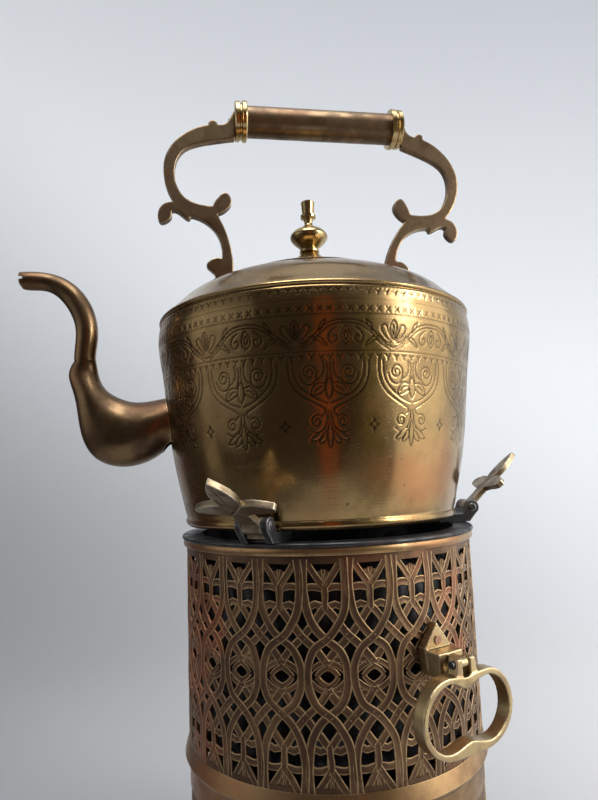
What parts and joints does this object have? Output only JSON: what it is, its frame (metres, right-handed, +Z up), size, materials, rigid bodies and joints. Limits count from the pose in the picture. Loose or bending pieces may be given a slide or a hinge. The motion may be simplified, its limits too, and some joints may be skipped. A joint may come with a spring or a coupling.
{
  "type": "teapot on brazier",
  "caption": "Round-bodied brass kettle with hinged domed lid, bent spout and scrolled bail handle, standing on a pierced cylindrical brazier with fire pot, hinged pot arms and ring handles.",
  "frame": {"origin": "centre of the flat underside of the brazier's base plate, on the floor", "axes": "+Z up; the spout points along -X; the handle lies in the XZ plane; the lid's hinge is on the +Y side"},
  "size_m": [0.383, 0.2804, 0.6457],
  "materials": {
    "kettle_brass": "aged polished brass with engraving",
    "bright_brass": "polished turned brass",
    "handle_brass": "brown cast brass",
    "spout_brass": "brown sheet brass",
    "brazier_brass": "dark pierced brass with worn edges",
    "bead_brass": "rolled brass, worn bright",
    "iron": "blackened iron",
    "support_brass": "worn grey cast brass",
    "ring_brass": "cast brass",
    "copper_rivet": "copper rivet"
  },
  "bodies": {
    "brazier": {"base_plate": "brazier_brass", "base_ring": "bead_brass", "drum_lower": "brazier_brass", "mid_bead": "bead_brass", "drum_upper": "brazier_brass", "rim_band": "bead_brass", "ring_bracket_1": "ring_brass", "ring_bracket_2": "ring_brass", "ring_rivet_1": "copper_rivet", "ring_rivet_2": "copper_rivet"},
    "fire_pot": {"fire_pot": "iron", "fire_grate": "iron", "support_bracket_1": "iron", "support_bracket_2": "iron", "support_bracket_3": "iron", "support_pin_1": "iron", "support_pin_2": "iron", "support_pin_3": "iron"},
    "support_1": {"support_arm_1": "support_brass"},
    "support_2": {"support_arm_2": "support_brass"},
    "support_3": {"support_arm_3": "support_brass"},
    "kettle": {"kettle_body": "kettle_brass", "kettle_foot": "kettle_brass", "kettle_shoulder": "kettle_brass", "hinge_leaf_kettle": "kettle_brass", "hinge_pin": "bright_brass", "spout_lower": "spout_brass", "spout_upper": "spout_brass", "handle_arm_spout": "handle_brass", "handle_arm_rear": "handle_brass", "handle_collar_spout": "bright_brass", "handle_collar_rear": "bright_brass", "handle_grip": "handle_brass", "handle_rod": "iron"},
    "lid": {"lid": "kettle_brass", "knob": "bright_brass", "knob_nut": "bright_brass", "hinge_leaf_lid": "kettle_brass"},
    "ring_1": {"ring_handle_1": "ring_brass", "ring_pin_1": "iron"},
    "ring_2": {"ring_handle_2": "ring_brass", "ring_pin_2": "iron"}
  },
  "joints": [
    {"name": "fire_pot_lift", "type": "slide", "parent": "brazier", "child": "fire_pot", "axis": [0, 0, 1], "range_m": [0, 0.16]},
    {"name": "kettle_lift", "type": "slide", "parent": "fire_pot", "child": "kettle", "axis": [0, 0, 1], "range_m": [0, 0.15]},
    {"name": "lid_hinge", "type": "hinge", "parent": "kettle", "child": "lid", "pos_m": [-0.0045, 0.0634, 0.4937], "axis": [-1, 0, 0], "range_deg": [0, 105]},
    {"name": "support_hinge_1", "type": "hinge", "parent": "fire_pot", "child": "support_1", "pos_m": [-0.06237, -0.09423, 0.3095], "axis": [-0.8339, 0.5519, 0], "range_deg": [0, 55]},
    {"name": "support_hinge_2", "type": "hinge", "parent": "fire_pot", "child": "support_2", "pos_m": [0.11279, -0.0069, 0.3095], "axis": [-0.061, -0.9981, 0], "range_deg": [0, 47]},
    {"name": "support_hinge_3", "type": "hinge", "parent": "fire_pot", "child": "support_3", "pos_m": [-0.05042, 0.10113, 0.3095], "axis": [0.8949, 0.4462, 0], "range_deg": [0, 45]},
    {"name": "ring_hinge_1", "type": "hinge", "parent": "brazier", "child": "ring_1", "pos_m": [0.05308, -0.11922, 0.2285], "axis": [-0.9135, -0.4067, 0], "range_deg": [-15, 90]},
    {"name": "ring_hinge_2", "type": "hinge", "parent": "brazier", "child": "ring_2", "pos_m": [-0.05308, 0.11922, 0.2285], "axis": [0.9135, 0.4067, 0], "range_deg": [-15, 90]}
  ]
}
